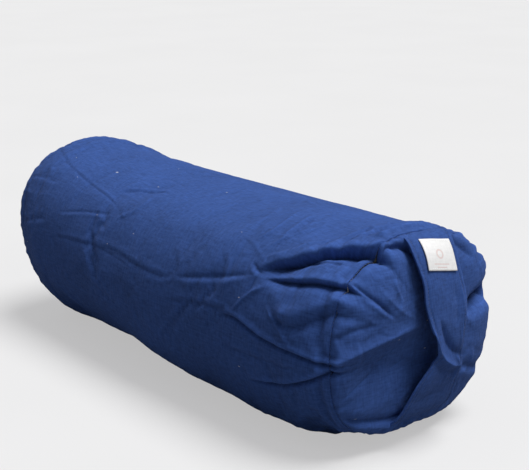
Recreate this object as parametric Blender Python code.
"""A round yoga bolster: a zipped cotton cover with a carrying handle on one end, round a sewn
liner bag that holds the loose filling.

+X runs along the bolster towards the handle, +Z is up, and the bolster lies on the z = 0 plane.
The zip runs along the back (+Y side). Lengths are in metres.
"""

import math

import bpy
import bmesh
from mathutils import Matrix, Vector

# The filled bolster.
BODY_WIDTH = 0.236  # across, at the middle
BODY_HEIGHT = 0.219  # at the ends, lying on a surface
SAG = 0.018  # how far the top dips at mid-length
SAG_REACH = 0.235  # from mid-length to where the dip ends
SEAM_SPAN = 0.560  # from one end seam to the other
END_BULGE = 0.022  # how far an end panel stands out past its seam
SEAM_SCALE = 0.90  # the section at an end seam, as a share of the middle one
SHOULDER = 0.065  # the length over which the body draws in to the seam
SECTION_POWER = 2.35  # above 2, the section is squarer than an ellipse
SINK = 0.0075  # how far the section is cut off flat by the surface it lies on
END_LIFT = 0.003  # how far the end seams stand up off that surface

# Cloth, thread and the spaces between the layers.
COVER_CLOTH = 0.0010
LINER_CLOTH = 0.0008
THREAD = 0.0006
GAP = 0.0004  # between pieces that touch
LINER_SLACK = 0.0006  # between the liner and the zip slider, which is what stands furthest into it
FILL_SLACK = 0.0006  # between the liner and its filling

# The handle and its label.
STRAP_WIDTH = 0.060
STRAP_CLOTH = 0.0018
STRAP_OFFSET = 0.012  # from the bolster's middle plane, towards the back
HAND_SPACE = 0.015  # between the end panel and the middle of the strap
STRAP_STITCH_INSET = 0.0035
LABEL_WIDTH = 0.040
LABEL_LENGTH = 0.038
LABEL_DROP = 0.023  # from the strap's upper end to the label
LABEL_CLOTH = 0.0005
LABEL_STITCH_INSET = 0.0020

# The coil zip in the cover's long seam.
ZIP_MARGIN = 0.004  # from the end of the zip's slot to where the body starts to draw in
ZIP_RISE_DEG = 22.0  # round the section, above the widest point at the back
TAPE_WIDTH = 0.013
TAPE_CLOTH = 0.0006
TAPE_GAP = 0.0008  # under the cover, whose facets dip towards it
TAPE_SPLIT = 0.0024  # between the two tapes
COIL_WIDTH = 0.0026
COIL_HEIGHT = 0.0016
COIL_SPLIT = 0.0007  # between the two coils
STOP_LENGTH = 0.0030
SLIDER_LENGTH = 0.0120
SLIDER_WIDTH = 0.0094
SLIDER_PLATE = 0.0011
SLIDER_RAIL = 0.0010
SLIDER_POST_LENGTH = 0.0030
CROWN_LENGTH = 0.0084
CROWN_WIDTH = 0.0020
CROWN_BAR = 0.0010
PULL_LENGTH = 0.0240
PULL_WIDTH = 0.0070
PULL_THICKNESS = 0.0012
PULL_EYE_BAR = 0.0016
PULL_EYE_LENGTH = 0.0080
PULL_EYE_WIDTH = 0.0038
SLOT_MARGIN = 0.0006  # between the slider and the cloth on each side
SLOT_OVERRUN = 0.0060  # of the slot past the stops
ZIP_STITCH_INSET = 0.0030

COLUMNS = 38  # round the body
BODY_RINGS = 7  # between the ends of the zip's slot
DOME_RINGS = 6
SHOULDER_RINGS = 5
STRAP_STATIONS = 28

# Worked out from the sizes above.
HALF_WIDTH = BODY_WIDTH / 2
HALF_HEIGHT = (BODY_HEIGHT + SINK) / 2
CENTRE_Z = BODY_HEIGHT - HALF_HEIGHT
SEAM_X = SEAM_SPAN / 2
SEAM_GAP = THREAD + 2 * GAP + COVER_CLOTH  # holds the thread between the slanting edges of the cloth
SLOT_WIDTH = SLIDER_WIDTH + 2 * SLOT_MARGIN
STRAP_REACH = END_BULGE + GAP + HAND_SPACE + STRAP_CLOTH + GAP + THREAD
MIDDLE_X = (END_BULGE - STRAP_REACH) / 2  # centres the whole bolster, handle included, on the origin
TAPE_DEPTH = COVER_CLOTH + TAPE_GAP  # this and the next two are below the cover's outer face
SLIDER_DEPTH = TAPE_DEPTH + TAPE_CLOTH + GAP + SLIDER_PLATE
LINER_INSET = SLIDER_DEPTH + LINER_SLACK
FILL_INSET = LINER_INSET + LINER_CLOTH + FILL_SLACK

COIL_TOP = COIL_HEIGHT - COVER_CLOTH
PLATE_TOP = COIL_TOP + GAP + SLIDER_PLATE
HINGE_HEIGHT = PLATE_TOP + PULL_THICKNESS
CROWN_UNDER = HINGE_HEIGHT + PULL_THICKNESS
SLOT_END = SEAM_X - SEAM_GAP / 2 - SHOULDER - ZIP_MARGIN
SLOT_START = -SLOT_END
ZIP_END = SLOT_END - SLOT_OVERRUN - STOP_LENGTH
ZIP_START = -ZIP_END  # where the closed slider rests


# ---------------------------------------------------------------- the section and its offsets


def spread(start, end, count):
    return [start + (end - start) * k / (count - 1) for k in range(count)]


def section_point(turn, scale=1.0, inset=0.0, lift=0.0):
    """A point (y, z) of the section. turn is 0 at the widest point of the back and a quarter at the top."""
    angle = 2 * math.pi * turn
    cos, sin = math.cos(angle), math.sin(angle)
    power = 2 / SECTION_POWER
    y = (HALF_WIDTH * scale - inset) * math.copysign(abs(cos) ** power, cos)
    z = (HALF_HEIGHT * scale - inset) * math.copysign(abs(sin) ** power, sin)
    return Vector((y, max(CENTRE_Z + z, inset + lift)))


def section_normal(turn):
    """The outward direction (y, z) of the full section."""
    step = 1e-4
    along = section_point(turn + step) - section_point(turn - step)
    return Vector((along.y, -along.x)).normalized()


def turn_at(distance):
    """The turn at this distance along the full section, from the zip's middle line, upwards if positive."""
    turn, left, step = ZIP_TURN, abs(distance), math.copysign(1e-4, distance)
    while left > 0:
        left -= (section_point(turn + step) - section_point(turn)).length
        turn += step
    return turn


ZIP_TURN = ZIP_RISE_DEG / 360
SLOT_HIGH = turn_at(SLOT_WIDTH / 2)
SLOT_LOW = turn_at(-SLOT_WIDTH / 2)
COLUMN_TURNS = spread(SLOT_HIGH, 1 + SLOT_LOW, COLUMNS)
# The dip starts a whole column past the upper tape, so the cover lies straight over the zip.
SAG_TURN = turn_at(TAPE_SPLIT / 2 + TAPE_WIDTH) + COLUMN_TURNS[1] - COLUMN_TURNS[0]


def sag(x, turn):
    """How far a point of the full section drops, so that the top dips and the rest stays."""
    along = max(0.0, 1 - abs(x / SAG_REACH) ** 3)
    low = math.sin(2 * math.pi * SAG_TURN)
    up = max(0.0, (math.sin(2 * math.pi * turn) - low) / (1 - low))
    return SAG * along * up**1.3


def ring(x, scale, inset=0.0, lift=0.0):
    """The closed section at a station along the bolster, as points in space."""
    points = ((section_point(turn, scale, inset, lift), turn) for turn in COLUMN_TURNS)
    return [Vector((x, p.x, p.y - sag(x, turn))) for p, turn in points]


def shoulder_scale(into):
    """The section's scale, where into runs from 0 at the full section to 1 at the seam."""
    return 1 - (1 - SEAM_SCALE) * into**2.2


def shoulder_rings(side, seam_x, inset):
    """Rings from the full section out to an end seam. side is +1 at the handle and -1 at the plain end."""
    shares = [k / SHOULDER_RINGS for k in range(SHOULDER_RINGS + 1)]
    return [
        ring(side * (seam_x - SHOULDER * (1 - u)), shoulder_scale(u), inset, END_LIFT * u**3)
        for u in shares
    ]


def middle_rings(seam_x, inset):
    """Rings of the full section, whose outer two are a zip margin short of where it draws in to the seams."""
    end = seam_x - SHOULDER - ZIP_MARGIN
    return [ring(x, 1.0, inset) for x in spread(-end, end, BODY_RINGS)]


def dome_rings(side, seam_x, inset):
    """Rings of an end panel from its seam to just short of its middle."""
    angles = [math.pi / 2 * k / DOME_RINGS for k in range(DOME_RINGS)]
    return [
        ring(
            side * (seam_x + END_BULGE * math.sin(a)),
            SEAM_SCALE * math.cos(a) + (1 - math.cos(a)) * inset / HALF_HEIGHT,
            inset,
            END_LIFT,
        )
        for a in angles
    ]


def dome_middle(side, seam_x):
    return Vector((side * (seam_x + END_BULGE), 0, CENTRE_Z))


# ---------------------------------------------------------------- making objects


def material(name, colour, roughness, metallic=0.0):
    made = bpy.data.materials.new(name)
    made.use_nodes = True
    shader = made.node_tree.nodes["Principled BSDF"]
    shader.inputs["Base Color"].default_value = (*colour, 1)
    shader.inputs["Roughness"].default_value = roughness
    shader.inputs["Metallic"].default_value = metallic
    made.diffuse_color = (*colour, 1)
    return made


def add_object(name, data, finish, parent):
    made = bpy.data.objects.new(name, data)
    bpy.context.scene.collection.objects.link(made)
    made.data.materials.append(finish)
    made.parent = parent
    return made


def add_mesh(name, shape, finish, parent):
    """An object from a bmesh whose faces already point out."""
    data = bpy.data.meshes.new(name)
    shape.to_mesh(data)
    shape.free()
    data.shade_smooth()
    data.set_sharp_from_angle(angle=math.radians(40))
    return add_object(name, data, finish, parent)


def add_solid(name, shape, finish, parent):
    """An object from a closed bmesh, with its normals turned out."""
    bmesh.ops.recalc_face_normals(shape, faces=shape.faces)
    return add_mesh(name, shape, finish, parent)


def add_sheet(name, shape, thickness, finish, parent):
    """An object from an open bmesh, with its cloth inwards from the modelled face."""
    made = add_mesh(name, shape, finish, parent)
    solid = made.modifiers.new("cloth", "SOLIDIFY")
    solid.thickness = thickness
    solid.offset = -1
    solid.use_even_offset = True


def bridge(shape, loops, skip=lambda band, column: False):
    """Faces between rings of points, leaving out those that skip names. They point out where the rings run along +X."""
    rows = [[shape.verts.new(p) for p in loop] for loop in loops]
    for band, (low, high) in enumerate(zip(rows, rows[1:])):
        count = len(low)
        for k in range(count):
            if not skip(band, k):
                n = (k + 1) % count
                shape.faces.new((low[k], low[n], high[n], high[k]))
    return rows


def close_with_point(shape, row, point):
    tip = shape.verts.new(point)
    for k, corner in enumerate(row):
        shape.faces.new((corner, row[(k + 1) % len(row)], tip))


def add_thread(name, points, finish, parent, closed=False):
    """A row of stitching as one thread along its line."""
    curve = bpy.data.curves.new(name, "CURVE")
    curve.dimensions = "3D"
    curve.bevel_depth = THREAD / 2
    curve.bevel_resolution = 0
    curve.use_fill_caps = True
    spline = curve.splines.new("POLY")
    spline.points.add(len(points) - 1)
    for corner, point in zip(spline.points, points):
        corner.co = (*point, 1)
    spline.use_cyclic_u = closed
    return add_object(name, curve, finish, parent)


def add_extrusion(name, outline, run, finish, parent):
    """A closed outline of points in space, drawn out along the vector run."""
    shape = bmesh.new()
    face = shape.faces.new([shape.verts.new(p) for p in outline])
    drawn = bmesh.ops.extrude_face_region(shape, geom=[face])
    moved = [v for v in drawn["geom"] if isinstance(v, bmesh.types.BMVert)]
    bmesh.ops.translate(shape, verts=moved, vec=run)
    return add_solid(name, shape, finish, parent)


def box(shape, low, high):
    """A box between two corners, as one more body of a bmesh."""
    low, high = Vector(low), Vector(high)
    place = Matrix.Translation((low + high) / 2) @ Matrix.Diagonal((*(high - low), 1))
    bmesh.ops.create_cube(shape, size=1, matrix=place)


# ---------------------------------------------------------------- the two bags and the filling


def add_bag(prefix, inset, cloth, seam_x, slotted, finish, thread_finish, parent):
    """A body panel, two end panels and their seam threads."""
    shape = bmesh.new()
    left = shoulder_rings(-1, seam_x - SEAM_GAP / 2, inset)[::-1]
    right = shoulder_rings(1, seam_x - SEAM_GAP / 2, inset)
    middle = middle_rings(seam_x - SEAM_GAP / 2, inset)
    slot_bands = range(len(left), len(left) + BODY_RINGS - 1)
    bridge(
        shape,
        left + middle + right,
        lambda band, column: slotted and band in slot_bands and column == COLUMNS - 1,
    )
    add_sheet(f"{prefix}_body", shape, cloth, finish, parent)
    for side, end in ((1, "handle_end"), (-1, "plain_end")):
        shape = bmesh.new()
        rows = bridge(shape, dome_rings(side, seam_x + SEAM_GAP / 2, inset))
        close_with_point(shape, rows[-1], dome_middle(side, seam_x + SEAM_GAP / 2))
        if side < 0:
            bmesh.ops.reverse_faces(shape, faces=shape.faces)
        add_sheet(f"{prefix}_{end}", shape, cloth, finish, parent)
        line = ring(side * seam_x, SEAM_SCALE, inset + cloth / 2, END_LIFT)
        add_thread(f"{prefix}_{end}_seam_thread", line, thread_finish, parent, closed=True)


def add_filling(finish, parent):
    """The loose filling, in the shape that the liner holds it in."""
    seam_x = SEAM_X - LINER_INSET
    reach = seam_x - LINER_CLOTH - FILL_SLACK
    left = dome_rings(-1, reach, FILL_INSET)[::-1] + shoulder_rings(-1, reach, FILL_INSET)[-2::-1]
    right = shoulder_rings(1, reach, FILL_INSET) + dome_rings(1, reach, FILL_INSET)[1:]
    shape = bmesh.new()
    rows = bridge(shape, left + middle_rings(reach, FILL_INSET) + right)
    close_with_point(shape, rows[0], dome_middle(-1, reach))
    close_with_point(shape, rows[-1], dome_middle(1, reach))
    add_solid("filling", shape, finish, parent)


# ---------------------------------------------------------------- the handle and its label


def strap_point(share, stand_off=0.0):
    """(x, z) on the strap's middle line, and the outward direction there. share runs from 0 at the top to 1."""

    def line(u):
        angle = math.radians(88) * (1 - 2 * u)
        out = Vector((END_BULGE * math.cos(angle), HALF_HEIGHT * SEAM_SCALE * math.sin(angle)))
        facing = Vector((out.x / END_BULGE**2, out.y / (HALF_HEIGHT * SEAM_SCALE) ** 2)).normalized()
        lift = GAP + STRAP_CLOTH / 2 + HAND_SPACE * math.sin(math.pi * u) ** 1.5
        point = Vector((SEAM_X + SEAM_GAP / 2, CENTRE_Z)) + out + facing * lift
        point.y = max(point.y, STRAP_CLOTH / 2 + GAP)
        return point

    step = 1e-3
    along = line(min(share + step, 1)) - line(max(share - step, 0))
    facing = Vector((-along.y, along.x)).normalized()
    return line(share) + facing * stand_off, facing


def strap_length():
    points = [strap_point(k / STRAP_STATIONS)[0] for k in range(STRAP_STATIONS + 1)]
    return sum((b - a).length for a, b in zip(points, points[1:]))


def add_ribbon(name, shares, width, thickness, stand_off, finish, parent):
    """A strip of cloth along the strap's line between two shares of it."""
    shape = bmesh.new()
    loops = []
    for u in shares:
        (x, z), facing = strap_point(u, stand_off)
        half = facing * thickness / 2
        loops.append([
            Vector((x + s * half.x, STRAP_OFFSET + e * width / 2, z + s * half.y))
            for s, e in ((1, -1), (1, 1), (-1, 1), (-1, -1))
        ])
    rows = bridge(shape, loops)
    shape.faces.new(rows[0])
    shape.faces.new(rows[-1])
    add_solid(name, shape, finish, parent)


def strap_line(shares, across, stand_off):
    """Points on the strap's outer side, at a distance across from its middle."""
    found = (strap_point(u, stand_off)[0] for u in shares)
    return [Vector((p.x, STRAP_OFFSET + across, p.y)) for p in found]


def add_handle(cloth, thread, label_cloth, parent):
    add_ribbon("handle_strap", spread(0, 1, STRAP_STATIONS), STRAP_WIDTH, STRAP_CLOTH, 0, cloth, parent)
    on_strap = STRAP_CLOTH / 2 + GAP + THREAD / 2
    row = spread(0.03, 0.97, STRAP_STATIONS)
    for side, name in ((-1, "front"), (1, "back")):
        line = strap_line(row, side * (STRAP_WIDTH / 2 - STRAP_STITCH_INSET), on_strap)
        add_thread(f"handle_thread_{name}", line, thread, parent)
    long = strap_length()
    start, end = LABEL_DROP / long, (LABEL_DROP + LABEL_LENGTH) / long
    label_off = STRAP_CLOTH / 2 + GAP + LABEL_CLOTH / 2
    add_ribbon("label", spread(start, end, 8), LABEL_WIDTH, LABEL_CLOTH, label_off, label_cloth, parent)
    thread_off = label_off + LABEL_CLOTH / 2 + GAP + THREAD / 2
    inset = LABEL_STITCH_INSET / long
    shares = spread(start + inset, end - inset, 8)
    across = LABEL_WIDTH / 2 - LABEL_STITCH_INSET
    loop = strap_line(shares, -across, thread_off) + strap_line(shares[::-1], across, thread_off)
    add_thread("label_thread", loop, thread, parent, closed=True)


# ---------------------------------------------------------------- the zip


def wall_strip(name, start, end, top, bottom, x_start, x_end, finish, parent):
    """A strip that follows the section between two distances from the zip's middle, and two heights off it."""
    turns = spread(turn_at(start), turn_at(end), 4)
    upper = [section_point(t) + section_normal(t) * top for t in turns]
    lower = [section_point(t) + section_normal(t) * bottom for t in turns]
    outline = [Vector((x_start, p.x, p.y)) for p in upper + lower[::-1]]
    return add_extrusion(name, outline, Vector((x_end - x_start, 0, 0)), finish, parent)


def add_zip_tapes(tape, coil, metal, thread, parent):
    for side, name in ((1, "upper"), (-1, "lower")):
        near, far = side * TAPE_SPLIT / 2, side * (TAPE_SPLIT / 2 + TAPE_WIDTH)
        wall_strip(
            f"zip_tape_{name}", near, far, -TAPE_DEPTH, -TAPE_DEPTH - TAPE_CLOTH,
            SLOT_START + GAP, SLOT_END - GAP, tape, parent,
        )
        near, far = side * COIL_SPLIT / 2, side * (COIL_SPLIT / 2 + COIL_WIDTH)
        wall_strip(
            f"zip_coil_{name}", near, far, COIL_TOP, -COVER_CLOTH,
            ZIP_START + SLIDER_POST_LENGTH + GAP, ZIP_END, coil, parent,
        )
        wall_strip(
            f"zip_top_stop_{name}", side * TAPE_SPLIT / 2, far, COIL_TOP, -COVER_CLOTH,
            ZIP_START - GAP - STOP_LENGTH, ZIP_START - GAP, metal, parent,
        )
        turn = turn_at(side * (SLOT_WIDTH / 2 + ZIP_STITCH_INSET))
        at = section_point(turn) + section_normal(turn) * (GAP + THREAD / 2)
        line = [Vector((x, at.x, at.y)) for x in (SLOT_START, SLOT_END)]
        add_thread(f"zip_thread_{name}", line, thread, parent)
    reach = COIL_SPLIT / 2 + COIL_WIDTH
    wall_strip(
        "zip_bottom_stop", -reach, reach, COIL_TOP, -COVER_CLOTH,
        ZIP_END + GAP, ZIP_END + GAP + STOP_LENGTH, metal, parent,
    )


def add_body_seam_threads(thread, parent):
    """The long seam past each end of the zip."""
    facing = section_normal(ZIP_TURN) * (GAP + THREAD)
    for side, name in ((1, "handle"), (-1, "plain")):
        line = []
        start = (SLOT_END if side > 0 else -SLOT_START) + GAP
        for x in spread(start, SEAM_X - SEAM_GAP, 10):
            into = max(0.0, (x - SEAM_X + SHOULDER) / SHOULDER)
            at = section_point(ZIP_TURN, shoulder_scale(into)) + facing
            line.append(Vector((side * x, at.x, at.y)))
        add_thread(f"body_seam_thread_{name}_end", line, thread, parent)


def zip_frame(parent):
    """An empty on the cover's face at the closed slider, with Z outwards and Y down round the section."""
    made = bpy.data.objects.new("zip_frame", None)
    bpy.context.scene.collection.objects.link(made)
    made.parent = parent
    at, facing = section_point(ZIP_TURN), section_normal(ZIP_TURN)
    made.location = (ZIP_START, at.x, at.y)
    made.rotation_euler = (math.atan2(-facing.x, facing.y), 0, 0)
    return made


def add_union(base, others):
    """Joins scratch bodies to an object with Boolean modifiers."""
    for other in others:
        join = base.modifiers.new(other.name, "BOOLEAN")
        join.operation = "UNION"
        join.object = other
        other.hide_render = True
        other.display_type = "WIRE"


def add_slider(metal, frame):
    """The slider: two plates joined by a post between the tapes, side rails and a crown for the pull."""
    half = SLIDER_WIDTH / 2
    low_top = -TAPE_DEPTH - TAPE_CLOTH - GAP
    plate_under = PLATE_TOP - SLIDER_PLATE
    shape = bmesh.new()
    box(shape, (0, -half, plate_under), (SLIDER_LENGTH, half, PLATE_TOP))
    slider = add_solid("zip_slider", shape, metal, frame)
    parts = {
        "lower_plate": ((0, -half, low_top - SLIDER_PLATE), (SLIDER_LENGTH, half, low_top)),
        "post": (
            (SLIDER_PLATE / 2, -TAPE_SPLIT / 2 + GAP, low_top - SLIDER_PLATE / 2),
            (SLIDER_POST_LENGTH, TAPE_SPLIT / 2 - GAP, PLATE_TOP - SLIDER_PLATE / 2),
        ),
    }
    for side in (-1, 1):
        edge, inner = side * half, side * (half - SLIDER_RAIL)
        parts[f"rail_{side}"] = (
            (SLIDER_PLATE / 2, min(edge, inner), -COVER_CLOTH + GAP),
            (SLIDER_LENGTH - SLIDER_PLATE / 2, max(edge, inner), PLATE_TOP - SLIDER_PLATE / 2),
        )
    crown_x = (SLIDER_LENGTH - CROWN_LENGTH) / 2
    crown_half = CROWN_WIDTH / 2
    for end, x in (("front", crown_x), ("rear", crown_x + CROWN_LENGTH - CROWN_BAR)):
        parts[f"crown_{end}"] = (
            (x, -crown_half, PLATE_TOP - SLIDER_PLATE / 2),
            (x + CROWN_BAR, crown_half, CROWN_UNDER + CROWN_BAR / 2),
        )
    parts["crown_bar"] = (
        (crown_x, -crown_half, CROWN_UNDER),
        (crown_x + CROWN_LENGTH, crown_half, CROWN_UNDER + CROWN_BAR),
    )
    others = []
    for name, (low, high) in parts.items():
        shape = bmesh.new()
        box(shape, low, high)
        others.append(add_solid(f"slider_{name}", shape, metal, frame))
    add_union(slider, others)


def add_pull(metal, frame):
    """The pull tab, with its eye round the crown. Its origin is on its hinge, and it lies along +X."""
    shape = bmesh.new()
    half, eye_half = PULL_WIDTH / 2, PULL_EYE_WIDTH / 2
    start, eye_start = -PULL_EYE_BAR / 2, PULL_EYE_BAR / 2
    eye_end, corner = eye_start + PULL_EYE_LENGTH, half / 2
    outer = [
        (start, -half + corner), (start + corner, -half), (eye_end, -half),
        (PULL_LENGTH - corner, -half), (PULL_LENGTH, -half + corner),
        (PULL_LENGTH, half - corner), (PULL_LENGTH - corner, half),
        (eye_end, half), (start + corner, half), (start, half - corner),
    ]
    base = -PULL_THICKNESS / 2
    face = shape.faces.new([shape.verts.new((x, y, base)) for x, y in outer])
    drawn = bmesh.ops.extrude_face_region(shape, geom=[face])
    moved = [v for v in drawn["geom"] if isinstance(v, bmesh.types.BMVert)]
    bmesh.ops.translate(shape, verts=moved, vec=(0, 0, PULL_THICKNESS))
    pull = add_solid("zip_pull", shape, metal, frame)
    pull.location = (SLIDER_LENGTH / 2, 0, HINGE_HEIGHT)

    shape = bmesh.new()
    box(shape, (eye_start, -eye_half, -PULL_THICKNESS), (eye_end, eye_half, PULL_THICKNESS))
    eye = add_solid("pull_eye_cutter", shape, metal, frame)
    eye.location = pull.location
    eye.hide_render = True
    eye.display_type = "WIRE"
    cut = pull.modifiers.new("eye", "BOOLEAN")
    cut.operation = "DIFFERENCE"
    cut.object = eye


def main():
    for old in list(bpy.data.objects):
        bpy.data.objects.remove(old, do_unlink=True)

    navy = material("navy_cotton", (0.018, 0.045, 0.17), 0.85)
    navy_thread = material("navy_thread", (0.014, 0.034, 0.12), 0.7)
    liner_cloth = material("unbleached_cotton", (0.72, 0.67, 0.56), 0.9)
    liner_thread = material("undyed_thread", (0.78, 0.74, 0.65), 0.7)
    fibre = material("fibre_filling", (0.80, 0.76, 0.66), 0.95)
    label_cloth = material("white_label", (0.86, 0.85, 0.83), 0.7)
    nylon = material("navy_nylon", (0.012, 0.024, 0.08), 0.45)
    metal = material("zinc", (0.55, 0.55, 0.56), 0.3, metallic=1.0)

    bolster = bpy.data.objects.new("bolster", None)
    bpy.context.scene.collection.objects.link(bolster)
    bolster.location.x = MIDDLE_X

    add_bag("cover", 0.0, COVER_CLOTH, SEAM_X, True, navy, navy_thread, bolster)
    add_bag(
        "liner", LINER_INSET, LINER_CLOTH, SEAM_X - LINER_INSET, False,
        liner_cloth, liner_thread, bolster,
    )
    add_filling(fibre, bolster)
    add_handle(navy, navy_thread, label_cloth, bolster)
    add_zip_tapes(navy, nylon, metal, navy_thread, bolster)
    add_body_seam_threads(navy_thread, bolster)
    frame = zip_frame(bolster)
    add_slider(metal, frame)
    add_pull(metal, frame)


main()
